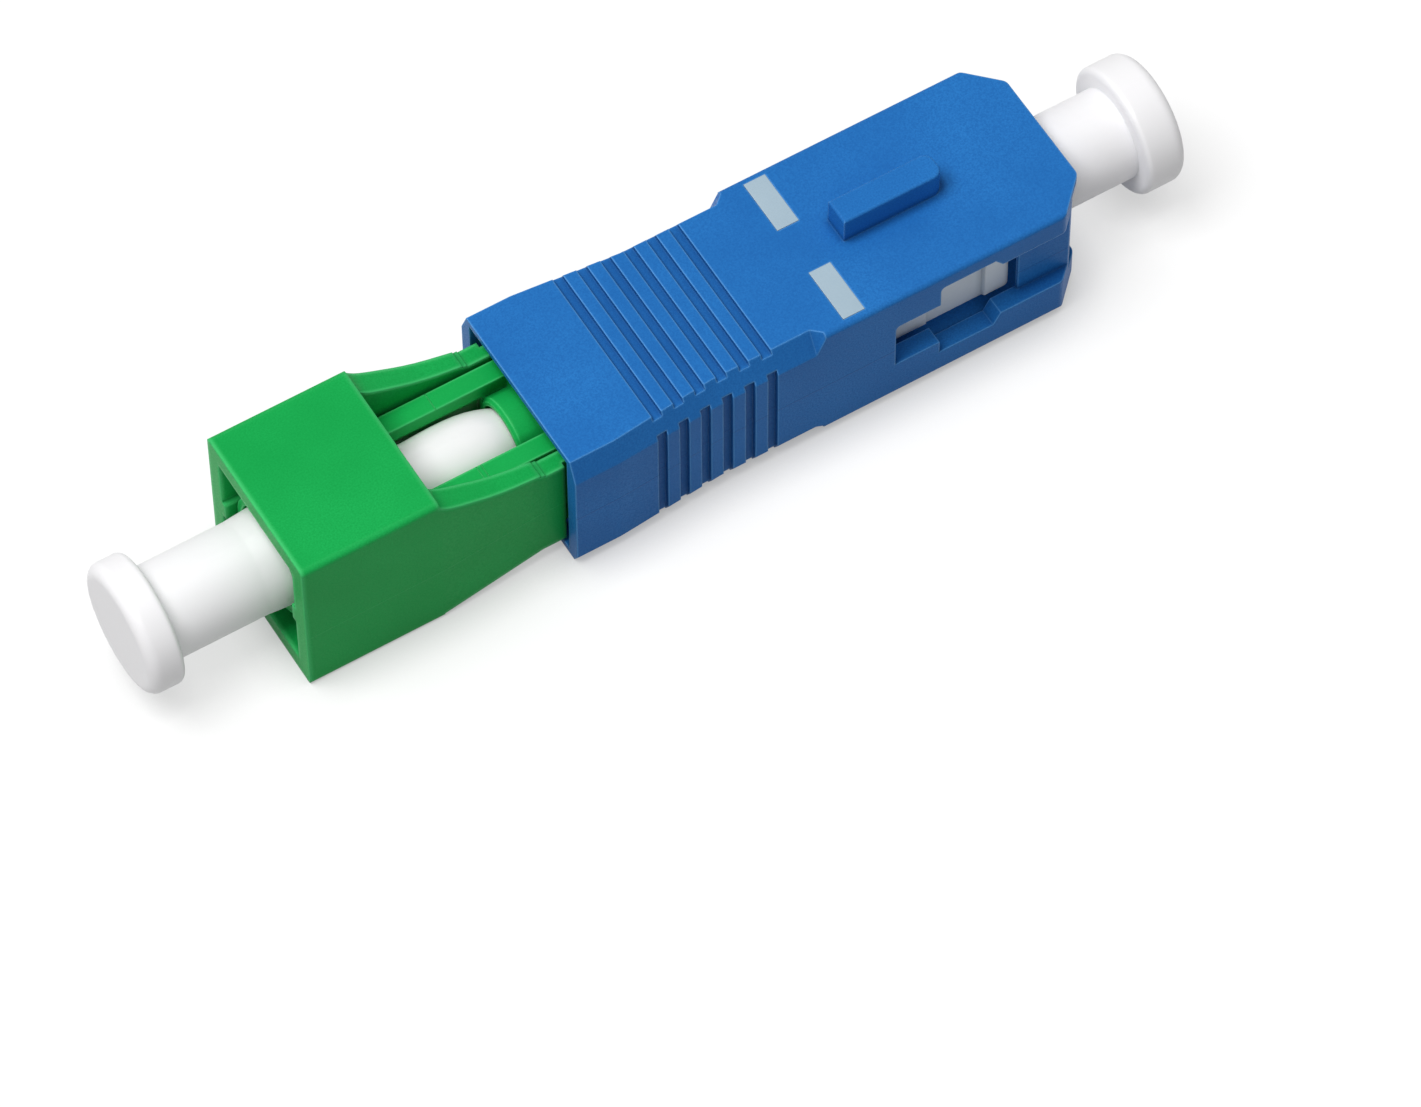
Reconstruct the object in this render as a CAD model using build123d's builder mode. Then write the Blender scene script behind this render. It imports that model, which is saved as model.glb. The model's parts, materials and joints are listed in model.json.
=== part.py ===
"""Hybrid fibre adapter: a plug with a sliding grip at one end and a small receptacle at the other.

Millimetres. +X runs along the fibre axis towards the plug's tip, +Z is up (the key's side).
The origin is at the middle of the footprint, on the surface that the receptacle box stands on.
"""
import os

from build123d import *

os.makedirs("parts", exist_ok=True)

# Lengths along the fibre axis, from the receptacle's cap to the plug's cap
receptacle_head_thickness = 1.65
receptacle_cap_reach = 5.25
box_length = 6.7
arm_gap = 6.2
shell_length = 26.6
plug_cap_reach = 3.75
plug_head_thickness = 2.05

# Receptacle box and the two arms that join it to the plug
box_width = 8.15
box_height = 8.75
box_edge_radius = 0.22
box_wall = 0.925
opening_height = 6.7
rail_height = 1.05
rail_depth = 0.22
rail_length = 3.0
arm_inset = 0.28
arm_thickness = 0.88
arm_neck_drop = 1.1
arm_neck_length = 1.4
arm_middle_drop = 1.7
arm_middle_length = 2.9
arm_neck_slope = -1.3
arm_end_slope = -0.2
arm_top = 2.15
arm_bottom = 3.6
tail_length = 4.6
tail_drop = 0.2
tail_step = 1.1
tail_shelf = 0.22
tail_bottom = 2.6
tail_thickness = 0.62
lug_length = 1.2
lug_height = 1.6
lug_depth = 0.4

# Sliding grip of the plug
shell_width = 9.0
shell_height = 7.2
shell_drop = 0.45
shell_wall = 0.9
grip_length = 12.3
grip_step = 0.45
grip_rear_swell = 0.33
grip_rear_drop = 0.2
grip_flare_length = 2.2
grip_taper_length = 5.2
grip_rear_bevel = 0.46
grip_waist_bevel = 0.65
grip_chamfer = 1.18
grip_foot_bevel = 0.3
grip_foot_chamfer = 0.5
shell_edge_radius = 0.25
front_chamfer = 1.6
front_corner_radius = 0.45
mouth_side_gap = 0.045
mouth_roof = 0.35
mouth_depth = 2.3
groove_count = 6
groove_start = 4.2
groove_pitch = 1.13
groove_width = 0.5
groove_depth = 0.24
groove_side_top = 2.2
groove_side_reach = 4.6

# Key and index marks on the grip's top
key_start = 16.02
key_length = 5.1
key_width = 1.34
key_height = 1.4
key_nose_radius = 0.5
key_edge_radius = 0.1
mark_start = 13.85
mark_length = 1.08
mark_inner = 1.3
mark_outer = 4.14
mark_proud = 0.02

# Latch windows in the grip's sides, heights from the fibre axis
window_start = 16.35
window_step = 2.28
window_notch_end = 5.45
window_ramp = 0.38
window_end = 6.75
window_rear_top = 1.04
window_middle_top = 2.28
window_front_top = 1.8
window_rear_bottom = 1.82
window_middle_bottom = 2.6
window_front_bottom = 1.95
window_corner_radius = 0.25
recess_depth = 0.7

# Inner frame of the plug
frame_side_gap = 0.3
frame_roof_gap = 0.08
frame_bore_gap = 0.12
frame_wall = 0.3
frame_corner = 0.6
frame_front = 23.05
frame_rear = 2.05
frame_tip_length = 1.35
frame_latch_length = 2.95
frame_latch_depth = 0.28
frame_body_depth = 0.12
frame_tip_radius = 0.35
frame_wall_start = 14.2
frame_wall_length = 1.0
frame_wall_bore = 1.75
frame_rear_wall = 0.42

# Sleeve mount: plate, ring, beams and collar
plate_start = 4.3
plate_length = 1.0
ring_start = 0.5
ring_wall = 0.35
ring_side_gap = 0.4
beam_width = 0.96
beam_side_gap = 0.2
beam_height = 3.7
collar_reach = 0.85
collar_depth = 1.5
collar_radius = 1.95
collar_bore = 1.6
collar_edge = 0.15
end_plate_length = 1.1
end_plate_height = 4.4

# Alignment sleeve and its two holders
stub_ferrule_radius = 0.625
sleeve_wall = 0.17
sleeve_length = 6.8
sleeve_slit = 0.25
holder_nose_radius = 1.6
holder_nose_start = 1.3
holder_flange_length = 0.4
holder_root_radius = 1.98
holder_waist_radius = 1.86
holder_shoulder_radius = 1.6
holder_end_radius = 1.3
holder_shoulder_length = 0.7
holder_end_gap = 0.5
holder_lip = 0.5

# Ferrules, their flange, the spring and its retainer
plug_ferrule_radius = 1.25
ferrule_tip_gap = 0.2
ferrule_tip_chamfer = 0.3
ferrule_seat_depth = 2.9
fibre_radius = 0.0625
flange_side_gap = 0.12
flange_length = 1.8
nose_radius = 1.65
nose_reach = 2.2
tail_tube_radius = 1.25
tail_tube_start = 0.6
stub_seat_depth = 1.0
fibre_channel_radius = 0.3
spring_wire_radius = 0.18
spring_side_gap = 0.35
spring_turns = 7
retainer_flange_lap = 0.2
retainer_flange_length = 0.35
retainer_length = 2.9

# Dust caps
cap_head_radius = 3.1
cap_tube_radius = 2.2
cap_face_radius = 0.55
cap_back_radius = 0.28
receptacle_rim_swell = 0.05
receptacle_rim_gap = 0.05
receptacle_flare_length = 0.6
receptacle_neck_reach = 0.55
receptacle_cap_bore = 1.75
receptacle_bore_reach = 3.0
plug_cap_bore = 1.3
plug_cap_depth = 5.6
plug_bore_beyond_tip = 1.0

# Clearances
running_gap = 0.01
slide_gap = 0.1
fit_gap = 0.05
glue_gap = 0.004

# Stations along X, counted from the middle of the whole length
overall_length = (
    receptacle_head_thickness + receptacle_cap_reach + box_length + arm_gap
    + shell_length + plug_cap_reach + plug_head_thickness
)
receptacle_end = -overall_length / 2
receptacle_shoulder = receptacle_end + receptacle_head_thickness
box_front = receptacle_shoulder + receptacle_cap_reach
box_rear = box_front + box_length
shell_rear = box_rear + arm_gap
shell_front = shell_rear + shell_length
plug_shoulder = shell_front + plug_cap_reach
plug_end = plug_shoulder + plug_head_thickness

# Heights and shared sizes
axis_z = box_height / 2
shell_z = axis_z - shell_drop
shell_top = shell_height / 2 - shell_drop
grip_rear_width = shell_width + 2 * grip_rear_swell
mouth_width = box_width + 2 * mouth_side_gap
mouth_top = shell_top - mouth_roof
mouth_bottom = shell_height - shell_top + grip_rear_drop - mouth_roof
cavity_width = shell_width - 2 * shell_wall
frame_width = cavity_width - 2 * frame_side_gap
frame_bore_radius = cap_tube_radius + frame_bore_gap
frame_height = 2 * (frame_bore_radius + frame_wall)
cavity_height = frame_height + 2 * frame_roof_gap
mark_depth = (shell_top - cavity_height / 2) / 2
opening_width = box_width - 2 * box_wall
arm_inner = opening_width / 2 - arm_inset
arm_outer = arm_inner + arm_thickness
frame_rear_width = 2 * (arm_inner - fit_gap)
spring_bore_radius = frame_rear_width / 2 - frame_rear_wall
flange_radius = spring_bore_radius - flange_side_gap
spring_mean_radius = spring_bore_radius - spring_side_gap - spring_wire_radius
retainer_flange_radius = spring_bore_radius + retainer_flange_lap
beam_outer = arm_inner - beam_side_gap
beam_inner = beam_outer - beam_width
ring_bore = opening_width / 2 - ring_side_gap - ring_wall
receptacle_tube_radius = ring_bore - slide_gap
holder_flange_radius = receptacle_tube_radius - fit_gap
fibre_axis = Axis((0, 0, axis_z), (1, 0, 0))


def station(x):
    """Plane square to the fibre axis at x: its own axes are Y, and Z counted from the fibre axis."""
    return Plane((x, 0, axis_z), x_dir=(0, 1, 0), z_dir=(1, 0, 0))


def shell_station(x):
    """Plane square to the fibre axis at x: its own axes are Y, and Z counted from the grip's middle."""
    return Plane((x, 0, shell_z), x_dir=(0, 1, 0), z_dir=(1, 0, 0))


def side(y):
    """Upright plane at y that faces -Y: its own axes are X, and Z counted from the fibre axis."""
    return Plane((0, y, axis_z), x_dir=(1, 0, 0), z_dir=(0, -1, 0))


# Receptacle body: the box, two curved arms, and the tails that hold the plug's frame
with BuildPart() as receptacle_body:
    tail_start = shell_rear - tail_step
    shelf_end = tail_start + tail_shelf
    with BuildSketch(station(box_front)):
        Rectangle(box_width, box_height)
    extrude(amount=box_length)
    fillet(receptacle_body.edges().filter_by(Axis.X), radius=box_edge_radius)
    with BuildSketch(side(box_width / 2)):
        with BuildLine():
            neck = Spline(
                (box_rear, box_height / 2 - box_edge_radius),
                (box_rear + arm_neck_length, box_height / 2 - arm_neck_drop),
                (box_rear + arm_middle_length, box_height / 2 - arm_middle_drop),
                (tail_start, arm_top),
                tangents=[(1, arm_neck_slope), (1, arm_end_slope)],
            )
            Polyline(
                neck @ 1,
                (tail_start, -arm_bottom),
                (box_rear, -box_height / 2 + box_edge_radius),
                neck @ 0,
            )
        make_face()
    extrude(amount=box_width)
    for drop, x_start, x_end, bottom, outer in (
        (tail_drop / 2, tail_start, shelf_end, arm_bottom, arm_outer),
        (tail_drop, shelf_end, shell_rear + slide_gap, arm_bottom, arm_outer),
        (tail_drop, shell_rear, shell_rear + tail_length, tail_bottom, arm_inner + tail_thickness),
    ):
        with BuildSketch(station(x_start)):
            with Locations((0, (arm_top - drop - bottom) / 2)):
                Rectangle(2 * outer, arm_top - drop + bottom)
        extrude(amount=x_end - x_start)
    with BuildSketch(Plane.XY):
        with Locations(((box_rear + shell_rear + tail_length) / 2, 0)):
            Rectangle(arm_gap + tail_length, 2 * arm_inner)
        for hand in (-1, 1):
            with BuildLine():
                Polyline(
                    (box_rear, hand * box_width / 2),
                    (tail_start, hand * arm_outer),
                    (tail_start, hand * box_width),
                    (box_rear, hand * box_width),
                    close=True,
                )
            make_face()
    extrude(amount=box_height, mode=Mode.SUBTRACT)
    with BuildSketch(station(box_front)):
        Rectangle(opening_width, opening_height)
    extrude(amount=box_length, mode=Mode.SUBTRACT)
    for hand in (-1, 1):
        with BuildSketch(side(hand * (opening_width / 2 - rail_depth / 2))):
            with Locations((box_front + rail_length / 2, 0)):
                Rectangle(rail_length, rail_height)
        extrude(amount=rail_depth / 2 + fit_gap, both=True)
        with BuildSketch(side(hand * arm_inner)):
            with Locations((shell_rear + frame_rear + lug_length, 0)):
                Rectangle(lug_length + 2 * fit_gap, lug_height + 2 * fit_gap)
        extrude(amount=tail_thickness * 2, both=True, mode=Mode.SUBTRACT)
receptacle_body.part.label = "receptacle_body"
export_step(receptacle_body.part, "parts/receptacle_body.step")

# Sleeve mount: a plate across the box with the cap's ring before it, and two beams that carry the collar
with BuildPart() as sleeve_mount:
    plate_front = box_front + plate_start
    plate_rear = plate_front + plate_length
    ring_front = box_front + ring_start
    end_plate_rear = shell_rear + collar_depth
    end_plate_front = end_plate_rear - end_plate_length
    with BuildSketch(station(plate_front)):
        Rectangle(opening_width - 2 * fit_gap, opening_height - 2 * fit_gap)
    extrude(amount=plate_length)
    with BuildSketch(station(ring_front)):
        Circle(ring_bore + ring_wall)
    extrude(amount=plate_front - ring_front)
    with BuildSketch(station(ring_front)):
        Circle(ring_bore)
    extrude(amount=plate_front - ring_front, mode=Mode.SUBTRACT)
    with BuildSketch(station(plate_rear)):
        with Locations((-beam_inner - beam_width / 2, 0), (beam_inner + beam_width / 2, 0)):
            Rectangle(beam_width, beam_height)
    extrude(amount=end_plate_rear - plate_rear)
    with BuildSketch(station(end_plate_front)):
        Rectangle(2 * beam_outer, end_plate_height)
    extrude(amount=end_plate_length)
    with BuildSketch(station(shell_rear - collar_reach)):
        Circle(collar_radius)
    extrude(amount=collar_reach + collar_depth)
    collar_rims = sleeve_mount.edges().filter_by(GeomType.CIRCLE)
    chamfer(
        collar_rims.filter_by_position(Axis.X, shell_rear - collar_reach, shell_rear - collar_reach),
        length=collar_edge,
    )
    with BuildSketch(station(shell_rear - collar_reach)):
        Circle(collar_bore)
    extrude(amount=collar_reach + collar_depth, mode=Mode.SUBTRACT)
    with BuildSketch(station(plate_front)):
        Circle(holder_root_radius + fit_gap)
    extrude(amount=shell_rear - collar_reach - plate_front, mode=Mode.SUBTRACT)
sleeve_mount.part.label = "sleeve_mount"
export_step(sleeve_mount.part, "parts/sleeve_mount.step")

# Split sleeve that lines up the two small ferrules
sleeve_bore = stub_ferrule_radius + running_gap
sleeve_radius = sleeve_bore + sleeve_wall
holder_bore = sleeve_radius + fit_gap
flange_front = plate_front - 2 * holder_flange_length
flange_joint = plate_front - holder_flange_length
holder_front = box_front + holder_nose_start
holder_rear = shell_rear - holder_end_gap
sleeve_start = holder_front + holder_lip + fit_gap
sleeve_end = sleeve_start + sleeve_length
sleeve_middle = (sleeve_start + sleeve_end) / 2
with BuildPart() as split_sleeve:
    with BuildSketch(station(sleeve_start)):
        Circle(sleeve_radius)
        Circle(sleeve_bore, mode=Mode.SUBTRACT)
        with Locations((0, sleeve_radius)):
            Rectangle(sleeve_slit, 2 * sleeve_radius, mode=Mode.SUBTRACT)
    extrude(amount=sleeve_length)
split_sleeve.part.label = "split_sleeve"
export_step(split_sleeve.part, "parts/split_sleeve.step")

# Front half of the sleeve holder: the nose that a mating plug slides over, and a flange
with BuildPart() as sleeve_holder_front:
    with BuildSketch(side(0)):
        with BuildLine():
            Polyline(
                (holder_front, sleeve_bore),
                (holder_front, holder_nose_radius),
                (flange_front, holder_nose_radius),
                (flange_front, holder_flange_radius),
                (flange_joint, holder_flange_radius),
                (flange_joint, holder_bore),
                (holder_front + holder_lip, holder_bore),
                (holder_front + holder_lip, sleeve_bore),
                close=True,
            )
        make_face()
    revolve(axis=fibre_axis)
    chamfer(
        sleeve_holder_front.edges().filter_by(GeomType.CIRCLE).group_by(Axis.X)[0],
        length=holder_lip / 4,
    )
sleeve_holder_front.part.label = "sleeve_holder_front"
export_step(sleeve_holder_front.part, "parts/sleeve_holder_front.step")

# Rear half of the sleeve holder: the white barrel that shows between the arms
with BuildPart() as sleeve_holder_rear:
    with BuildSketch(side(0)):
        with BuildLine():
            barrel = Spline(
                (plate_rear, holder_root_radius),
                ((plate_rear + holder_rear) / 2, holder_waist_radius),
                (holder_rear - holder_shoulder_length, holder_shoulder_radius),
                (holder_rear, holder_end_radius),
            )
            Polyline(
                barrel @ 1,
                (holder_rear, sleeve_bore),
                (sleeve_end + fit_gap, sleeve_bore),
                (sleeve_end + fit_gap, holder_bore),
                (flange_joint, holder_bore),
                (flange_joint, holder_flange_radius),
                (plate_front, holder_flange_radius),
                (plate_front, holder_root_radius),
                barrel @ 0,
            )
        make_face()
    revolve(axis=fibre_axis)
sleeve_holder_rear.part.label = "sleeve_holder_rear"
export_step(sleeve_holder_rear.part, "parts/sleeve_holder_rear.step")

# Inner frame of the plug, which the grip slides on
frame_start = shell_rear + frame_rear
frame_end = shell_rear + frame_front
wall_start = shell_rear + frame_wall_start
wall_end = wall_start + frame_wall_length
tail_end = shell_rear + tail_length + fit_gap
tip_start = frame_end - frame_tip_length
latch_start = tip_start - frame_latch_length
with BuildPart() as plug_frame:
    with BuildSketch(station(tail_end)):
        Rectangle(frame_width, frame_height)
        chamfer(vertices(), length=frame_corner)
    extrude(amount=frame_end - tail_end)
    with BuildSketch(station(frame_start)):
        Rectangle(frame_rear_width, frame_height)
    extrude(amount=tail_end - frame_start)
    fillet(
        plug_frame.faces().sort_by(Axis.X)[-1].edges(),
        radius=frame_tip_radius,
    )
    for hand in (-1, 1):
        with BuildSketch(side(hand * frame_width / 2)):
            with Locations(((latch_start + tip_start) / 2, 0)):
                Rectangle(frame_latch_length, frame_height)
        extrude(amount=frame_latch_depth, both=True, mode=Mode.SUBTRACT)
        with BuildSketch(side(hand * frame_width / 2)):
            with Locations(((tail_end + latch_start) / 2, 0)):
                Rectangle(latch_start - tail_end, frame_height)
        extrude(amount=frame_body_depth, both=True, mode=Mode.SUBTRACT)
        with BuildSketch(side(hand * (arm_inner - fit_gap))):
            with Locations((frame_start + lug_length, 0)):
                Rectangle(lug_length, lug_height)
        extrude(amount=lug_depth, both=True)
    with BuildSketch(station(wall_end)):
        Circle(frame_bore_radius)
    extrude(amount=frame_end - wall_end, mode=Mode.SUBTRACT)
    with BuildSketch(station(wall_start)):
        Circle(frame_wall_bore)
    extrude(amount=frame_wall_length, mode=Mode.SUBTRACT)
    with BuildSketch(station(frame_start)):
        Circle(spring_bore_radius)
    extrude(amount=wall_start - frame_start, mode=Mode.SUBTRACT)
plug_frame.part.label = "plug_frame"
export_step(plug_frame.part, "parts/plug_frame.step")


def grip_section(x, width, bevel, chamfer_height, foot_bevel, foot_chamfer, drop):
    """Eight-sided section of the grip at x, with its corners cut off and its bottom lower by the drop."""
    half = width / 2
    flat = half - bevel
    foot_flat = half - foot_bevel
    rise = shell_height / 2
    fall = rise + drop
    with BuildSketch(shell_station(x)) as section:
        with BuildLine():
            Polyline(
                (-half, -fall + foot_chamfer),
                (-foot_flat, -fall),
                (foot_flat, -fall),
                (half, -fall + foot_chamfer),
                (half, rise - chamfer_height),
                (flat, rise),
                (-flat, rise),
                (-half, rise - chamfer_height),
                close=True,
            )
        make_face()
    return section.sketch


# Grip of the plug: flared and ribbed at the rear, square with latch windows at the front
with BuildPart() as plug_shell:
    flare_end = shell_rear + grip_flare_length
    taper_end = flare_end + grip_taper_length
    waist_end = shell_rear + grip_length
    square_start = waist_end + grip_step
    rear_corners = (grip_rear_width, grip_rear_bevel, grip_chamfer, grip_foot_bevel, grip_foot_chamfer)
    waist_corners = (shell_width, grip_waist_bevel, grip_chamfer, grip_foot_bevel, grip_foot_chamfer)
    rear_face = grip_section(shell_rear, *rear_corners, grip_rear_drop)
    flare_face = grip_section(flare_end, *rear_corners, grip_rear_drop)
    taper_face = grip_section(taper_end, *waist_corners, 0)
    waist_face = grip_section(waist_end, *waist_corners, 0)
    square_face = grip_section(square_start, shell_width, *[shell_edge_radius] * 4, 0)
    loft(sections=[rear_face, flare_face, taper_face, waist_face, square_face], ruled=True)
    with BuildSketch(shell_station(square_start)):
        RectangleRounded(shell_width, shell_height, radius=shell_edge_radius)
    extrude(amount=shell_front - square_start)
    with BuildSketch(Plane.XY.offset(shell_z - shell_height)):
        for hand in (-1, 1):
            with BuildLine():
                nose = FilletPolyline(
                    (shell_front - 2 * front_chamfer, hand * shell_width / 2),
                    (shell_front - front_chamfer, hand * shell_width / 2),
                    (shell_front, hand * (shell_width / 2 - front_chamfer)),
                    (shell_front, hand * (shell_width / 2 - 2 * front_chamfer)),
                    radius=front_corner_radius,
                )
                Polyline(
                    nose @ 1,
                    (shell_front + front_chamfer, hand * (shell_width / 2 - 2 * front_chamfer)),
                    (shell_front + front_chamfer, hand * shell_width),
                    (shell_front - 2 * front_chamfer, hand * shell_width),
                    nose @ 0,
                )
            make_face()
    extrude(amount=2 * shell_height, mode=Mode.SUBTRACT)
    for index in range(groove_count):
        groove_middle = shell_rear + groove_start + groove_width / 2 + index * groove_pitch
        left = 1 - min(1, (groove_middle - flare_end) / grip_taper_length)
        local_width = shell_width + 2 * grip_rear_swell * left
        local_bottom = shell_top - shell_height - grip_rear_drop * left
        for height in (shell_top, local_bottom):
            with BuildSketch(station(groove_middle)):
                with Locations((0, height)):
                    Rectangle(grip_rear_width, 2 * groove_depth)
            extrude(amount=groove_width / 2, both=True, mode=Mode.SUBTRACT)
        for hand in (-1, 1):
            with BuildSketch(station(groove_middle)):
                with Locations((hand * local_width / 2, (groove_side_top - groove_side_reach) / 2)):
                    Rectangle(2 * groove_depth, groove_side_top + groove_side_reach)
            extrude(amount=groove_width / 2, both=True, mode=Mode.SUBTRACT)
    with BuildSketch(Plane.XY.offset(axis_z + shell_top)):
        with Locations((shell_rear + key_start + key_length / 2, 0)):
            Rectangle(key_length, key_width)
    extrude(amount=key_height)
    key_edges = plug_shell.edges().filter_by(Axis.Z).filter_by(lambda e: e.center().Z > axis_z + shell_top)
    fillet(key_edges.group_by(Axis.X)[-1], radius=key_nose_radius)
    fillet(
        plug_shell.faces().filter_by(Axis.Z).sort_by(Axis.Z)[-1].edges(),
        radius=key_edge_radius,
    )
    with BuildSketch(station(shell_rear)):
        with Locations((0, (mouth_top - mouth_bottom) / 2)):
            Rectangle(mouth_width, mouth_top + mouth_bottom)
    extrude(amount=mouth_depth, mode=Mode.SUBTRACT)
    with BuildSketch(station(shell_rear)):
        Rectangle(cavity_width, cavity_height)
    extrude(amount=shell_length, mode=Mode.SUBTRACT)
    window_rear = shell_rear + window_start
    window_middle = window_rear + window_step
    ramp_end = window_rear + window_notch_end
    ramp_start = ramp_end - window_ramp
    window_front = window_rear + window_end
    for hand in (-1, 1):
        with BuildSketch(side(hand * (shell_width + cavity_width) / 4)):
            with BuildLine():
                Polyline(
                    (window_rear, -window_rear_bottom),
                    (window_middle, -window_rear_bottom),
                    (window_middle, -window_middle_bottom),
                    (ramp_start, -window_middle_bottom),
                    (ramp_end, -window_front_bottom),
                    (window_front, -window_front_bottom),
                    (window_front, window_front_top),
                    (ramp_end, window_front_top),
                    (ramp_start, window_middle_top),
                    (window_middle, window_middle_top),
                    (window_middle, window_rear_top),
                    (window_rear, window_rear_top),
                    close=True,
                )
            make_face()
            for corner in ((window_middle, window_middle_top), (window_rear, window_rear_top)):
                fillet(vertices().sort_by_distance(corner)[0], radius=window_corner_radius)
        extrude(amount=shell_width - cavity_width, both=True, mode=Mode.SUBTRACT)
        with BuildSketch(side(hand * shell_width / 2)):
            with BuildLine():
                Polyline(
                    (window_front, -window_front_bottom),
                    (shell_front, -window_front_bottom),
                    (shell_front, window_front_top),
                    (window_front, window_front_top),
                    close=True,
                )
            make_face()
        extrude(amount=recess_depth, both=True, mode=Mode.SUBTRACT)
    mark_x = shell_rear + mark_start + mark_length / 2
    mark_y = (mark_inner + mark_outer) / 2
    mark_width = mark_outer - mark_inner
    with BuildSketch(Plane.XY.offset(axis_z + shell_top)):
        with Locations((mark_x, -mark_y), (mark_x, mark_y)):
            Rectangle(mark_length + 2 * running_gap, mark_width + 2 * running_gap)
    extrude(amount=-mark_depth, mode=Mode.SUBTRACT)
plug_shell.part.label = "plug_shell"
export_step(plug_shell.part, "parts/plug_shell.step")

# Index marks: two thin pale inlays behind the key
for name, hand in (("index_mark_near", -1), ("index_mark_far", 1)):
    with BuildPart() as index_mark:
        with BuildSketch(Plane.XY.offset(axis_z + shell_top - mark_depth)):
            with Locations((mark_x, hand * mark_y)):
                Rectangle(mark_length, mark_width)
        extrude(amount=mark_depth + mark_proud)
    index_mark.part.label = name
    export_step(index_mark.part, f"parts/{name}.step")

# Ferrule flange: the metal piece that joins both ferrules and takes the spring's push
ferrule_tip = shell_front - ferrule_tip_gap
stub_tip = sleeve_middle
flange_end = wall_start
flange_start = flange_end - flange_length
nose_end = flange_end + nose_reach
tube_start = shell_rear + tail_tube_start
with BuildPart() as ferrule_flange:
    with BuildSketch(side(0)):
        with BuildLine():
            Polyline(
                (tube_start, stub_ferrule_radius + glue_gap),
                (tube_start, tail_tube_radius),
                (flange_start, tail_tube_radius),
                (flange_start, flange_radius),
                (flange_end, flange_radius),
                (flange_end, nose_radius),
                (nose_end, nose_radius),
                (nose_end, plug_ferrule_radius + glue_gap),
                (nose_end - ferrule_seat_depth, plug_ferrule_radius + glue_gap),
                (nose_end - ferrule_seat_depth, fibre_channel_radius),
                (tube_start + stub_seat_depth, fibre_channel_radius),
                (tube_start + stub_seat_depth, stub_ferrule_radius + glue_gap),
                close=True,
            )
        make_face()
    revolve(axis=fibre_axis)
ferrule_flange.part.label = "ferrule_flange"
export_step(ferrule_flange.part, "parts/ferrule_flange.step")

# Plug ferrule
with BuildPart() as plug_ferrule:
    with BuildSketch(side(0)):
        with BuildLine():
            Polyline(
                (nose_end - ferrule_seat_depth, fibre_radius + glue_gap),
                (nose_end - ferrule_seat_depth, plug_ferrule_radius),
                (ferrule_tip - ferrule_tip_chamfer, plug_ferrule_radius),
                (ferrule_tip, plug_ferrule_radius - ferrule_tip_chamfer),
                (ferrule_tip, fibre_radius + glue_gap),
                close=True,
            )
        make_face()
    revolve(axis=fibre_axis)
plug_ferrule.part.label = "plug_ferrule"
export_step(plug_ferrule.part, "parts/plug_ferrule.step")

# Small ferrule of the receptacle side
stub_end = tube_start + stub_seat_depth
stub_chamfer = stub_ferrule_radius / 4
with BuildPart() as stub_ferrule:
    with BuildSketch(side(0)):
        with BuildLine():
            Polyline(
                (stub_tip, fibre_radius + glue_gap),
                (stub_tip, stub_ferrule_radius - stub_chamfer),
                (stub_tip + stub_chamfer, stub_ferrule_radius),
                (stub_end, stub_ferrule_radius),
                (stub_end, fibre_radius + glue_gap),
                close=True,
            )
        make_face()
    revolve(axis=fibre_axis)
stub_ferrule.part.label = "stub_ferrule"
export_step(stub_ferrule.part, "parts/stub_ferrule.step")

# Glass fibre from one polished tip to the other
with BuildPart() as glass_fibre:
    with BuildSketch(station(stub_tip)):
        Circle(fibre_radius)
    extrude(amount=ferrule_tip - stub_tip)
glass_fibre.part.label = "glass_fibre"
export_step(glass_fibre.part, "parts/glass_fibre.step")

# Spring retainer: closes the frame's rear bore and guides the flange's tube
retainer_seat = frame_start
retainer_front = retainer_seat + retainer_length
with BuildPart() as spring_retainer:
    with BuildSketch(side(0)):
        with BuildLine():
            Polyline(
                (retainer_seat - retainer_flange_length, tail_tube_radius + slide_gap),
                (retainer_seat - retainer_flange_length, retainer_flange_radius),
                (retainer_seat, retainer_flange_radius),
                (retainer_seat, spring_bore_radius - fit_gap),
                (retainer_front, spring_bore_radius - fit_gap),
                (retainer_front, tail_tube_radius + slide_gap),
                close=True,
            )
        make_face()
    revolve(axis=fibre_axis)
spring_retainer.part.label = "spring_retainer"
export_step(spring_retainer.part, "parts/spring_retainer.step")

# Ferrule spring: an open coil between the retainer and the flange
spring_start = retainer_front + fit_gap + spring_wire_radius
spring_end = flange_start - fit_gap - spring_wire_radius
spring_span = spring_end - spring_start
with BuildPart() as ferrule_spring:
    with BuildLine() as coil:
        Helix(
            pitch=spring_span / spring_turns,
            height=spring_span,
            radius=spring_mean_radius,
            center=(spring_start, 0, axis_z),
            direction=(1, 0, 0),
        )
    with BuildSketch(Plane(coil.line @ 0, z_dir=coil.line % 0)):
        Circle(spring_wire_radius)
    sweep(path=coil.line, is_frenet=True)
ferrule_spring.part.label = "ferrule_spring"
export_step(ferrule_spring.part, "parts/ferrule_spring.step")


def is_head_rim(edge):
    """True for a round edge that is as wide as a cap's head."""
    return edge.geom_type == GeomType.CIRCLE and edge.radius > cap_head_radius - glue_gap


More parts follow.
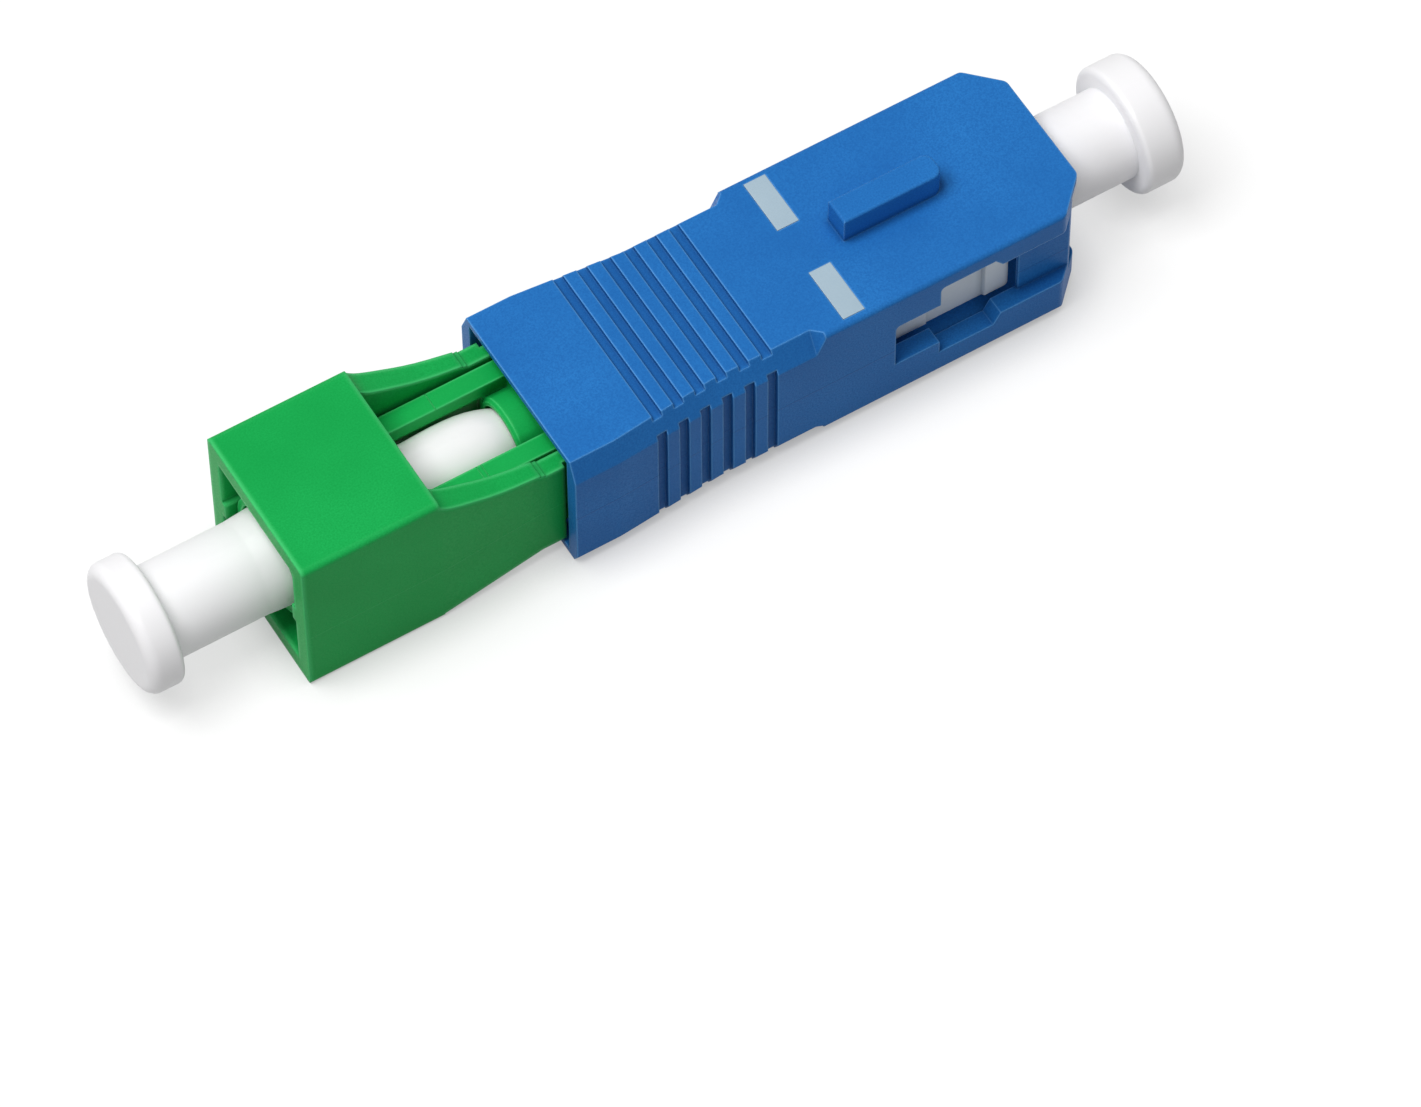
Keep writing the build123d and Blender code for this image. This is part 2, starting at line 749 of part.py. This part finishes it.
# Receptacle's dust cap: it slides over the sleeve holder's nose, inside the mount's ring
receptacle_tube_end = flange_front - slide_gap
rim_place = box_front - receptacle_rim_gap
with BuildPart() as receptacle_dust_cap:
    with BuildSketch(side(0)):
        with BuildLine():
            flare = Spline(
                (rim_place - receptacle_flare_length, cap_tube_radius),
                (rim_place, cap_tube_radius + receptacle_rim_swell),
                tangents=[(1, 0), (1, 0)],
            )
            Polyline(
                flare @ 1,
                (box_front + receptacle_neck_reach, receptacle_tube_radius),
                (receptacle_tube_end, receptacle_tube_radius),
                (receptacle_tube_end, receptacle_cap_bore),
                (box_front - receptacle_bore_reach, receptacle_cap_bore),
                (box_front - receptacle_bore_reach, 0),
                (receptacle_end, 0),
                (receptacle_end, cap_head_radius),
                (receptacle_shoulder, cap_head_radius),
                (receptacle_shoulder, cap_tube_radius),
                flare @ 0,
            )
        make_face()
    revolve(axis=fibre_axis)
    face_rim = receptacle_dust_cap.edges().filter_by(is_head_rim).sort_by(Axis.X)[0]
    fillet(face_rim, radius=cap_face_radius)
    back_rim = receptacle_dust_cap.edges().filter_by(is_head_rim).sort_by(Axis.X)[-1]
    fillet(back_rim, radius=cap_back_radius)
receptacle_dust_cap.part.label = "receptacle_dust_cap"
export_step(receptacle_dust_cap.part, "parts/receptacle_dust_cap.step")

# Plug's dust cap: it slides over the ferrule, inside the frame's bore
plug_tube_end = shell_front - plug_cap_depth
with BuildPart() as plug_dust_cap:
    with BuildSketch(side(0)):
        with BuildLine():
            Polyline(
                (plug_end, 0),
                (plug_end, cap_head_radius),
                (plug_shoulder, cap_head_radius),
                (plug_shoulder, cap_tube_radius),
                (plug_tube_end, cap_tube_radius),
                (plug_tube_end, plug_cap_bore),
                (ferrule_tip + plug_bore_beyond_tip, plug_cap_bore),
                (ferrule_tip + plug_bore_beyond_tip, 0),
                close=True,
            )
        make_face()
    revolve(axis=fibre_axis)
    face_rim = plug_dust_cap.edges().filter_by(is_head_rim).sort_by(Axis.X)[-1]
    fillet(face_rim, radius=cap_face_radius)
    back_rim = plug_dust_cap.edges().filter_by(is_head_rim).sort_by(Axis.X)[0]
    fillet(back_rim, radius=cap_back_radius)
plug_dust_cap.part.label = "plug_dust_cap"
export_step(plug_dust_cap.part, "parts/plug_dust_cap.step")
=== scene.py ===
import json
import bmesh
import bpy
from mathutils import Matrix, Vector


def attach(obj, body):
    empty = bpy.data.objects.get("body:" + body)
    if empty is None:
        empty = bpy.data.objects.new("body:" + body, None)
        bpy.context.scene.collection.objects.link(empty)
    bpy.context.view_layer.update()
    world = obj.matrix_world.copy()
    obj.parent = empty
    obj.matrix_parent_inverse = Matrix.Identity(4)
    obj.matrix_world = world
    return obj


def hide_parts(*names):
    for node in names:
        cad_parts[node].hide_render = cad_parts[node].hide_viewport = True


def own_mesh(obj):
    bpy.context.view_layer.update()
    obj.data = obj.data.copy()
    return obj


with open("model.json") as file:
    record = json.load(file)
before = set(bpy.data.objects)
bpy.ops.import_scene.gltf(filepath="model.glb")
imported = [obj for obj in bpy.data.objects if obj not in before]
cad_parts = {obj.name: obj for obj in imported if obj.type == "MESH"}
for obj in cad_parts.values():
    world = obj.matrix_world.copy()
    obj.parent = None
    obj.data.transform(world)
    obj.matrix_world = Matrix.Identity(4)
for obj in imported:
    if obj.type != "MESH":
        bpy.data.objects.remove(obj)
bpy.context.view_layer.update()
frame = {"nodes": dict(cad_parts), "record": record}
nodes = frame["nodes"]
print("frame loaded:", len(nodes), "nodes")

mm = 0.001
axisHeight = 4.375    # fibre axis over the table, in millimetres
displayCurve = {"full": 255, "knee": 0.04045, "slope": 12.92, "offset": 0.055, "power": 2.4}


def linear(red, green, blue):    # 0-255 display values to the values that shaders work in
    curve = displayCurve
    out = []
    for value in (red, green, blue):
        c = value / curve["full"]
        if c <= curve["knee"]:
            out.append(c / curve["slope"])
        else:
            out.append(((c + curve["offset"]) / (1 + curve["offset"])) ** curve["power"])
    return (*out, 1.0)


# Camera: where the photograph was taken from

cameraView = {
    "place": (-0.1014, -0.1753, 0.3058),
    "right": (0.85559, -0.51763, -0.0037),
    "up": (0.43771, 0.71963, 0.53902),
    "back": (-0.27635, -0.46281, 0.84228),
    "lens": 212.05,
    "sensor": 36.0,
    "nearest": 0.01,
    "farthest": 10.0,
}


def makeCamera(v):
    data = bpy.data.cameras.new("photoCamera")
    data.lens = v["lens"]
    data.sensor_width = v["sensor"]
    data.clip_start = v["nearest"]
    data.clip_end = v["farthest"]
    camera = bpy.data.objects.new("photoCamera", data)
    bpy.context.scene.collection.objects.link(camera)
    turn = Matrix((v["right"], v["up"], v["back"])).transposed().to_4x4()
    camera.matrix_world = Matrix.Translation(v["place"]) @ turn
    bpy.context.scene.camera = camera


makeCamera(cameraView)
print("camera placed")

# Shader groups shared by the materials

edgeValues = {"bevelSamples": 8, "creaseSamples": 8, "creaseGain": 2.0}
grainValues = {
    "fineDetail": 3.0, "fineRoughness": 0.6, "slowDetail": 2.0, "grainLow": 0.36, "grainHigh": 0.64,
}


def addSocket(tree, name, kind, direction, value=None):
    socket = tree.interface.new_socket(name=name, in_out=direction, socket_type=kind)
    if value is not None:
        socket.default_value = value


def mathNode(tree, operation, first, second=None, clamp=False):
    node = tree.nodes.new("ShaderNodeMath")
    node.operation = operation
    node.use_clamp = clamp
    for socket, value in zip(node.inputs, (first, second)):
        if value is None:
            continue
        if isinstance(value, (int, float)):
            socket.default_value = value
        else:
            tree.links.new(value, socket)
    return node.outputs[0]


def mixColours(tree, factor, first, second):    # a Mix node's colour sockets are 6 and 7, and 2 going out
    node = tree.nodes.new("ShaderNodeMix")
    node.data_type = "RGBA"
    for socket, value in ((node.inputs[0], factor), (node.inputs[6], first), (node.inputs[7], second)):
        if isinstance(value, (int, float, tuple)):
            socket.default_value = value
        else:
            tree.links.new(value, socket)
    return node.outputs[2]


def makeEdgeGroup(v):    # rounded outer edges with a painted highlight along them, and painted shade darkening inner corners
    tree = bpy.data.node_groups.new("softEdgesPaintedLight", "ShaderNodeTree")
    addSocket(tree, "Radius", "NodeSocketFloat", "INPUT", 0.0002)
    addSocket(tree, "Sharpness", "NodeSocketFloat", "INPUT", 6.0)
    addSocket(tree, "Crease Reach", "NodeSocketFloat", "INPUT", 0.0004)
    addSocket(tree, "Normal", "NodeSocketVector", "OUTPUT")
    addSocket(tree, "Edge", "NodeSocketFloat", "OUTPUT")
    addSocket(tree, "Crease", "NodeSocketFloat", "OUTPUT")
    given = tree.nodes.new("NodeGroupInput")
    out = tree.nodes.new("NodeGroupOutput")
    bevel = tree.nodes.new("ShaderNodeBevel")
    bevel.samples = v["bevelSamples"]
    tree.links.new(given.outputs["Radius"], bevel.inputs["Radius"])
    geometry = tree.nodes.new("ShaderNodeNewGeometry")
    dot = tree.nodes.new("ShaderNodeVectorMath")
    dot.operation = "DOT_PRODUCT"
    tree.links.new(bevel.outputs["Normal"], dot.inputs[0])
    tree.links.new(geometry.outputs["Normal"], dot.inputs[1])
    # painted highlight mask: how far the rounded-edge normal bends away from the face
    bend = mathNode(tree, "SUBTRACT", 1.0, dot.outputs["Value"])
    bent = mathNode(tree, "MULTIPLY", bend, given.outputs["Sharpness"], clamp=True)
    # painted shade mask: inner corners darkened by how closed-in they are
    hollow = tree.nodes.new("ShaderNodeAmbientOcclusion")
    hollow.samples = v["creaseSamples"]
    hollow.only_local = True
    tree.links.new(given.outputs["Crease Reach"], hollow.inputs["Distance"])
    shut = mathNode(tree, "SUBTRACT", 1.0, hollow.outputs["AO"])
    crease = mathNode(tree, "MULTIPLY", shut, v["creaseGain"], clamp=True)
    edge = mathNode(tree, "MULTIPLY", bent, mathNode(tree, "SUBTRACT", 1.0, crease, clamp=True))
    tree.links.new(bevel.outputs["Normal"], out.inputs["Normal"])
    tree.links.new(edge, out.inputs["Edge"])
    tree.links.new(crease, out.inputs["Crease"])
    return tree


def makeGrainGroup(v):    # fine spark-eroded grain with slow drifts of tone
    tree = bpy.data.node_groups.new("mouldGrain", "ShaderNodeTree")
    addSocket(tree, "Grain Size", "NodeSocketFloat", "INPUT", 0.12)
    addSocket(tree, "Drift Size", "NodeSocketFloat", "INPUT", 3.0)
    addSocket(tree, "Height", "NodeSocketFloat", "OUTPUT")
    addSocket(tree, "Grain", "NodeSocketFloat", "OUTPUT")
    addSocket(tree, "Drift", "NodeSocketFloat", "OUTPUT")
    given = tree.nodes.new("NodeGroupInput")
    out = tree.nodes.new("NodeGroupOutput")
    place = tree.nodes.new("ShaderNodeTexCoord").outputs["Object"]
    fine = tree.nodes.new("ShaderNodeTexNoise")
    fine.inputs["Detail"].default_value = v["fineDetail"]
    fine.inputs["Roughness"].default_value = v["fineRoughness"]
    slow = tree.nodes.new("ShaderNodeTexNoise")
    slow.inputs["Detail"].default_value = v["slowDetail"]
    for texture, name in ((fine, "Grain Size"), (slow, "Drift Size")):
        tree.links.new(place, texture.inputs["Vector"])
        scale = mathNode(tree, "DIVIDE", 1 / mm, given.outputs[name])
        tree.links.new(scale, texture.inputs["Scale"])
    spread = tree.nodes.new("ShaderNodeMapRange")
    spread.inputs["From Min"].default_value = v["grainLow"]
    spread.inputs["From Max"].default_value = v["grainHigh"]
    tree.links.new(fine.outputs["Fac"], spread.inputs["Value"])
    tree.links.new(fine.outputs["Fac"], out.inputs["Height"])
    tree.links.new(spread.outputs["Result"], out.inputs["Grain"])
    tree.links.new(slow.outputs["Fac"], out.inputs["Drift"])
    return tree


def makePartingGroup():    # faint line where the two halves of a mould met, at one height all round
    tree = bpy.data.node_groups.new("partingLine", "ShaderNodeTree")
    addSocket(tree, "Line Height", "NodeSocketFloat", "INPUT", 0.0)
    addSocket(tree, "Line Width", "NodeSocketFloat", "INPUT", 0.05)
    addSocket(tree, "Line", "NodeSocketFloat", "OUTPUT")
    given = tree.nodes.new("NodeGroupInput")
    out = tree.nodes.new("NodeGroupOutput")
    axes = tree.nodes.new("ShaderNodeSeparateXYZ")
    tree.links.new(tree.nodes.new("ShaderNodeTexCoord").outputs["Object"], axes.inputs[0])
    height = mathNode(tree, "DIVIDE", axes.outputs["Z"], mm)
    apart = mathNode(tree, "ABSOLUTE", mathNode(tree, "SUBTRACT", height, given.outputs["Line Height"]))
    share = mathNode(tree, "DIVIDE", apart, given.outputs["Line Width"])
    tree.links.new(mathNode(tree, "SUBTRACT", 1.0, share, clamp=True), out.inputs["Line"])
    return tree


edgeGroup = makeEdgeGroup(edgeValues)
grainGroup = makeGrainGroup(grainValues)
partingGroup = makePartingGroup()


def makeFinish(name, v):
    material = bpy.data.materials.new(name)
    material.use_nodes = True
    tree = material.node_tree
    shader = tree.nodes["Principled BSDF"]
    edges = tree.nodes.new("ShaderNodeGroup")
    edges.node_tree = edgeGroup
    edges.inputs["Radius"].default_value = v["edgeRadius"] * mm
    edges.inputs["Sharpness"].default_value = v["edgeSharpness"]
    edges.inputs["Crease Reach"].default_value = v["creaseReach"] * mm
    grain = tree.nodes.new("ShaderNodeGroup")
    grain.node_tree = grainGroup
    grain.inputs["Grain Size"].default_value = v["grainSize"]
    grain.inputs["Drift Size"].default_value = v["driftSize"]
    drifted = mixColours(tree, grain.outputs["Drift"], v["darker"], v["lighter"])
    speckle = mathNode(tree, "MULTIPLY", grain.outputs["Grain"], v["speckle"])
    grained = mixColours(tree, speckle, drifted, v["darker"])
    # painted highlight: outer edges mixed towards a paler colour
    paintedEdgeHighlight = mathNode(tree, "MULTIPLY", edges.outputs["Edge"], v["edgeHighlightStrength"])
    # painted shade: inner corners mixed towards a darker colour
    creaseShade = mathNode(tree, "MULTIPLY", edges.outputs["Crease"], v["creaseShade"])
    creaseShaded = mixColours(tree, creaseShade, grained, v["creaseShadeColour"])
    colour = mixColours(tree, paintedEdgeHighlight, creaseShaded, v["edgeHighlightColour"])
    height = grain.outputs["Height"]
    if "lineHeight" in v:
        parting = tree.nodes.new("ShaderNodeGroup")
        parting.node_tree = partingGroup
        parting.inputs["Line Height"].default_value = v["lineHeight"]
        parting.inputs["Line Width"].default_value = v["lineWidth"]
        shade = mathNode(tree, "MULTIPLY", parting.outputs["Line"], v["lineShade"])
        colour = mixColours(tree, shade, colour, v["lineColour"])
        height = mathNode(tree, "ADD", height, parting.outputs["Line"])
    tree.links.new(colour, shader.inputs["Base Color"])
    wander = mathNode(tree, "MULTIPLY", grain.outputs["Grain"], v["roughWander"])
    rough = mathNode(tree, "ADD", wander, v["roughness"] - v["roughWander"] / 2)
    tree.links.new(rough, shader.inputs["Roughness"])
    bump = tree.nodes.new("ShaderNodeBump")
    bump.inputs["Strength"].default_value = v["bump"]
    bump.inputs["Distance"].default_value = v["bumpDepth"] * mm
    tree.links.new(height, bump.inputs["Height"])
    tree.links.new(edges.outputs["Normal"], bump.inputs["Normal"])
    tree.links.new(bump.outputs["Normal"], shader.inputs["Normal"])
    for socket, value in v["plain"].items():
        shader.inputs[socket].default_value = value
    return material


# In each finish below, the edge values paint a highlight along outer edges and the crease values paint
# shade into inner corners.
bluePlastic = {
    "darker": linear(29, 100, 174), "lighter": linear(49, 134, 212), "edgeHighlightColour": linear(105, 175, 240),
    "edgeRadius": 0.13, "edgeSharpness": 6.0, "edgeHighlightStrength": 0.8,
    "creaseReach": 0.45, "creaseShade": 0.55, "creaseShadeColour": linear(6, 46, 104),
    "grainSize": 0.085, "driftSize": 5.0, "speckle": 0.7,
    "roughness": 0.4, "roughWander": 0.12, "bump": 0.5, "bumpDepth": 0.012,
    "lineHeight": 3.65, "lineWidth": 0.045, "lineShade": 0.45, "lineColour": linear(8, 62, 128),
    "plain": {"Specular IOR Level": 0.08},
}
greenPlastic = {
    "darker": linear(10, 154, 68), "lighter": linear(34, 190, 94), "edgeHighlightColour": linear(85, 225, 135),
    "edgeRadius": 0.36, "edgeSharpness": 9.0, "edgeHighlightStrength": 0.7,
    "creaseReach": 0.6, "creaseShade": 0.5, "creaseShadeColour": linear(4, 96, 40),
    "grainSize": 0.085, "driftSize": 5.0, "speckle": 0.6,
    "roughness": 0.42, "roughWander": 0.1, "bump": 0.5, "bumpDepth": 0.012,
    "lineHeight": 3.6, "lineWidth": 0.04, "lineShade": 0.35, "lineColour": linear(60, 190, 105),
    "plain": {"Specular IOR Level": 0.08},
}
greenInsert = {**greenPlastic, "edgeRadius": 0.2, "roughness": 0.34, "bump": 0.15, "speckle": 0.3}
whiteCap = {
    "darker": linear(248, 247, 249), "lighter": linear(252, 251, 253), "edgeHighlightColour": linear(254, 254, 254),
    "edgeRadius": 0.12, "edgeSharpness": 4.0, "edgeHighlightStrength": 0.3,
    "creaseReach": 0.4, "creaseShade": 0.3, "creaseShadeColour": linear(214, 216, 218),
    "grainSize": 0.35, "driftSize": 5.0, "speckle": 0.15,
    "roughness": 0.5, "roughWander": 0.06, "bump": 0.04, "bumpDepth": 0.008,
    "plain": {
        "Subsurface Weight": 0.15, "Subsurface Scale": 0.0008,
        "Subsurface Radius": (1.0, 0.97, 0.96), "Specular IOR Level": 0.9,
    },
}
whiteBarrel = {
    **whiteCap, "darker": linear(246, 247, 247), "lighter": linear(250, 250, 250),
    "roughness": 0.34, "bump": 0.02,
    "plain": {
        "Subsurface Weight": 0.2, "Subsurface Scale": 0.0006,
        "Subsurface Radius": (1.0, 0.97, 0.94), "Specular IOR Level": 0.8,
    },
}
whiteFrame = {
    **whiteCap, "darker": linear(226, 237, 244), "lighter": linear(240, 248, 253),
    "creaseShadeColour": linear(120, 130, 138), "roughness": 0.36,
    "plain": {
        "Subsurface Weight": 0.12, "Subsurface Scale": 0.0008,
        "Subsurface Radius": (0.94, 0.97, 1.0), "Specular IOR Level": 0.45,
    },
}
paleMark = {
    "darker": linear(156, 179, 194), "lighter": linear(174, 195, 208), "edgeHighlightColour": linear(196, 212, 222),
    "edgeRadius": 0.05, "edgeSharpness": 4.0, "edgeHighlightStrength": 0.5,
    "creaseReach": 0.2, "creaseShade": 0.3, "creaseShadeColour": linear(120, 146, 166),
    "grainSize": 0.14, "driftSize": 2.0, "speckle": 0.25,
    "roughness": 0.5, "roughWander": 0.1, "bump": 0.2, "bumpDepth": 0.008,
    "plain": {"Specular IOR Level": 0.4},
}
turnedMetal = {
    "darker": linear(176, 174, 168), "lighter": linear(196, 194, 188), "edgeHighlightColour": linear(225, 224, 220),
    "edgeRadius": 0.06, "edgeSharpness": 4.0, "edgeHighlightStrength": 0.5,
    "creaseReach": 0.3, "creaseShade": 0.4, "creaseShadeColour": linear(110, 108, 104),
    "grainSize": 0.06, "driftSize": 2.0, "speckle": 0.3,
    "roughness": 0.3, "roughWander": 0.12, "bump": 0.15, "bumpDepth": 0.006,
    "plain": {"Metallic": 1.0},
}
springWire = {
    **turnedMetal, "darker": linear(150, 152, 156), "lighter": linear(172, 174, 178), "roughness": 0.24,
}
zirconia = {
    "darker": linear(232, 230, 224), "lighter": linear(240, 238, 232), "edgeHighlightColour": linear(248, 247, 244),
    "edgeRadius": 0.05, "edgeSharpness": 3.0, "edgeHighlightStrength": 0.3,
    "creaseReach": 0.3, "creaseShade": 0.3, "creaseShadeColour": linear(190, 188, 182),
    "grainSize": 0.08, "driftSize": 2.0, "speckle": 0.1,
    "roughness": 0.16, "roughWander": 0.04, "bump": 0.05, "bumpDepth": 0.004,
    "plain": {"Specular IOR Level": 0.7, "Coat Weight": 0.3},
}
greyRetainer = {
    **paleMark, "darker": linear(88, 91, 94), "lighter": linear(104, 107, 110),
    "edgeHighlightColour": linear(140, 143, 146),
}
fibreGlass = {
    "darker": linear(236, 242, 245), "lighter": linear(246, 250, 252), "edgeHighlightColour": linear(255, 255, 255),
    "edgeRadius": 0.01, "edgeSharpness": 2.0, "edgeHighlightStrength": 0.1,
    "creaseReach": 0.05, "creaseShade": 0.0, "creaseShadeColour": linear(236, 242, 245),
    "grainSize": 0.05, "driftSize": 1.0, "speckle": 0.05,
    "roughness": 0.04, "roughWander": 0.02, "bump": 0.02, "bumpDepth": 0.002,
    "plain": {"Transmission Weight": 1.0, "IOR": 1.46},
}

finishValues = (
    ("green_plastic", "greenPlastic", greenPlastic),
    ("green_insert", "greenInsert", greenInsert),
    ("zirconia_sleeve", "zirconiaSleeve", zirconia),
    ("zirconia", "zirconia", zirconia),
    ("white_barrel", "whiteBarrel", whiteBarrel),
    ("white_frame", "whiteFrame", whiteFrame),
    ("blue_plastic", "bluePlastic", bluePlastic),
    ("pale_mark", "paleMark", paleMark),
    ("flange_steel", "turnedMetal", turnedMetal),
    ("fibre_glass", "fibreGlass", fibreGlass),
    ("retainer_plastic", "greyRetainer", greyRetainer),
    ("spring_steel", "springWire", springWire),
    ("white_cap", "whiteCap", whiteCap),
)
finishes = {slot: makeFinish(name, values) for slot, name, values in finishValues}
for part in frame["record"]["subparts"]:
    node = nodes[part["node"]]
    for place in node.material_slots:
        place.material = finishes[part["material_slot"]]
    if not node.material_slots:
        node.data.materials.append(finishes[part["material_slot"]])
print("finishes assigned:", len(finishes))

# Witness lines: hair-fine beads that the mould left across the two beams

witnessLines = {
    "acrossX": -9.4, "innerY": 1.71, "outerY": 2.67, "topZ": 6.225,
    "secondX": -9.18, "beadWidth": 0.07, "beadSides": 8, "sunk": 0.012, "endInset": 0.01,
}


def makeBeadTree():    # a round bead along every curve of the object
    tree = bpy.data.node_groups.new("witnessBead", "GeometryNodeTree")
    addSocket(tree, "Geometry", "NodeSocketGeometry", "INPUT")
    addSocket(tree, "Bead Width", "NodeSocketFloat", "INPUT", 0.00005)
    addSocket(tree, "Bead Sides", "NodeSocketInt", "INPUT", 8)
    addSocket(tree, "Finish", "NodeSocketMaterial", "INPUT")
    addSocket(tree, "Geometry", "NodeSocketGeometry", "OUTPUT")
    given = tree.nodes.new("NodeGroupInput")
    out = tree.nodes.new("NodeGroupOutput")
    ring = tree.nodes.new("GeometryNodeCurvePrimitiveCircle")
    tree.links.new(given.outputs["Bead Sides"], ring.inputs["Resolution"])
    tree.links.new(mathNode(tree, "MULTIPLY", given.outputs["Bead Width"], 0.5), ring.inputs["Radius"])
    sweep = tree.nodes.new("GeometryNodeCurveToMesh")
    sweep.inputs["Fill Caps"].default_value = True
    tree.links.new(given.outputs["Geometry"], sweep.inputs["Curve"])
    tree.links.new(ring.outputs["Curve"], sweep.inputs["Profile Curve"])
    real = tree.nodes.new("GeometryNodeRealizeInstances")
    tree.links.new(sweep.outputs["Mesh"], real.inputs["Geometry"])
    paint = tree.nodes.new("GeometryNodeSetMaterial")
    tree.links.new(real.outputs["Geometry"], paint.inputs["Geometry"])
    tree.links.new(given.outputs["Finish"], paint.inputs["Material"])
    tree.links.new(paint.outputs["Geometry"], out.inputs["Geometry"])
    return tree


def makeBeads(name, paths, v, finish):
    tree = makeBeadTree()
    guide = bpy.data.curves.new(name + "Guide", "CURVE")
    guide.dimensions = "3D"
    for path in paths:
        line = guide.splines.new("POLY")
        line.points.add(len(path) - 1)
        for point, place in zip(line.points, path):
            point.co = (*[c * mm for c in place], 1.0)
    holder = bpy.data.objects.new(name + "Guide", guide)
    bpy.context.scene.collection.objects.link(holder)
    nodesModifier = holder.modifiers.new("bead", "NODES")
    nodesModifier.node_group = tree
    sizes = {"Bead Width": v["beadWidth"] * mm, "Bead Sides": v["beadSides"], "Finish": finish}
    for item in tree.interface.items_tree:
        if item.in_out == "INPUT" and item.name in sizes:
            nodesModifier[item.identifier] = sizes[item.name]
    seen = holder.evaluated_get(bpy.context.evaluated_depsgraph_get())
    mesh = bpy.data.meshes.new_from_object(seen)
    holder.modifiers.remove(nodesModifier)
    bpy.data.objects.remove(holder)
    mesh.name = name
    piece = bpy.data.objects.new(name, mesh)
    bpy.context.scene.collection.objects.link(piece)
    return piece


def makeWitnessLines(v):
    height = v["topZ"] - v["sunk"]
    inner, outer = v["innerY"] + v["endInset"], v["outerY"] - v["endInset"]
    paths = []
    for hand in (-1, 1):
        paths.append([(v["acrossX"], hand * inner, height), (v["acrossX"], hand * outer, height)])
    paths.append([(v["secondX"], -inner, height), (v["secondX"], -outer, height)])
    beads = makeBeads("beamWitnessLines", paths, v, finishes["green_insert"])
    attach(beads, "adapter")


makeWitnessLines(witnessLines)
print("witness lines laid")

# Ferrule spring: the CAD coil once more, as its own piece on the adapter, with the CAD coil hidden

springValues = {"node": "ferrule_spring", "joint": "ferrule_float", "travel": 1.0}


def makeSpring(v):
    coil = bpy.data.objects.new("springCoil", nodes[v["node"]].data.copy())
    bpy.context.scene.collection.objects.link(coil)
    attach(coil, "adapter")
    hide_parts(v["node"])
    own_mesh(coil)


makeSpring(springValues)
print("spring coiled")

# Floor, lamps and surroundings

stageValues = {
    "floorSize": 3.0, "floorSunk": 0.01, "floorColour": (0.4, 0.4, 0.4, 1.0), "floorGlow": 0.64,
    "contactReach": 2.0, "contactShade": 0.6, "contactSamples": 8,
    "worldLevel": 0.35, "worldColour": (1.0, 1.0, 1.0, 1.0), "worldSeen": 1.0,
    "lamps": (
        {"name": "keyLamp", "place": (-0.22, 0.04, 0.56), "size": 0.35, "power": 2.9},
    ),
}


def rayMix(tree):    # 1 for camera, mirror and see-through rays
    path = tree.nodes.new("ShaderNodeLightPath")
    seen = mathNode(tree, "MAXIMUM", path.outputs["Is Camera Ray"], path.outputs["Is Glossy Ray"])
    return mathNode(tree, "MAXIMUM", seen, path.outputs["Is Transmission Ray"])


def makeFloor(v):    # pale from above, and clear from below so that the underside can be seen
    material = bpy.data.materials.new("paleFloor")
    material.use_nodes = True
    tree = material.node_tree
    tree.nodes.clear()
    out = tree.nodes.new("ShaderNodeOutputMaterial")
    paper = tree.nodes.new("ShaderNodeBsdfDiffuse")
    paper.inputs["Color"].default_value = v["floorColour"]
    # painted contact shadow: the floor's glow is dimmed near the object by how closed-in each spot is
    near = tree.nodes.new("ShaderNodeAmbientOcclusion")
    near.samples = v["contactSamples"]
    near.inputs["Distance"].default_value = v["contactReach"] * mm
    covered = mathNode(tree, "SUBTRACT", 1.0, near.outputs["AO"])
    contact = mathNode(tree, "MULTIPLY", covered, v["contactShade"] * v["floorGlow"])
    level = mathNode(tree, "SUBTRACT", v["floorGlow"], contact)
    glow = tree.nodes.new("ShaderNodeEmission")
    tree.links.new(mathNode(tree, "MULTIPLY", rayMix(tree), level), glow.inputs["Strength"])
    both = tree.nodes.new("ShaderNodeAddShader")
    tree.links.new(paper.outputs[0], both.inputs[0])
    tree.links.new(glow.outputs[0], both.inputs[1])
    geometry = tree.nodes.new("ShaderNodeNewGeometry")
    clear = tree.nodes.new("ShaderNodeBsdfTransparent")
    oneSided = tree.nodes.new("ShaderNodeMixShader")
    tree.links.new(geometry.outputs["Backfacing"], oneSided.inputs[0])
    tree.links.new(both.outputs[0], oneSided.inputs[1])
    tree.links.new(clear.outputs[0], oneSided.inputs[2])
    tree.links.new(oneSided.outputs[0], out.inputs["Surface"])
    mesh = bpy.data.meshes.new("floor")
    sheet = bmesh.new()
    bmesh.ops.create_grid(sheet, x_segments=1, y_segments=1, size=v["floorSize"] / 2)
    sheet.to_mesh(mesh)
    sheet.free()
    floor = bpy.data.objects.new("floor", mesh)
    floor.data.materials.append(material)
    floor.location = (0, 0, -v["floorSunk"] * mm)
    bpy.context.scene.collection.objects.link(floor)


def makeLamps(v):
    aim = Vector((0, 0, axisHeight * mm))
    for lamp in v["lamps"]:
        data = bpy.data.lights.new(lamp["name"], "AREA")
        data.size = lamp["size"]
        data.energy = lamp["power"]
        made = bpy.data.objects.new(lamp["name"], data)
        bpy.context.scene.collection.objects.link(made)
        made.location = lamp["place"]
        made.rotation_euler = (aim - made.location).to_track_quat("-Z", "Y").to_euler()


def makeWorld(v):
    world = bpy.data.worlds.new("surroundings")
    world.use_nodes = True
    tree = world.node_tree
    back = tree.nodes["Background"]
    back.inputs["Color"].default_value = v["worldColour"]
    level = mathNode(tree, "MULTIPLY", rayMix(tree), v["worldSeen"] - v["worldLevel"])
    tree.links.new(mathNode(tree, "ADD", level, v["worldLevel"]), back.inputs["Strength"])
    bpy.context.scene.world = world


makeFloor(stageValues)
makeLamps(stageValues)
makeWorld(stageValues)
bpy.context.scene.view_settings.view_transform = "Standard"
print("stage lit")
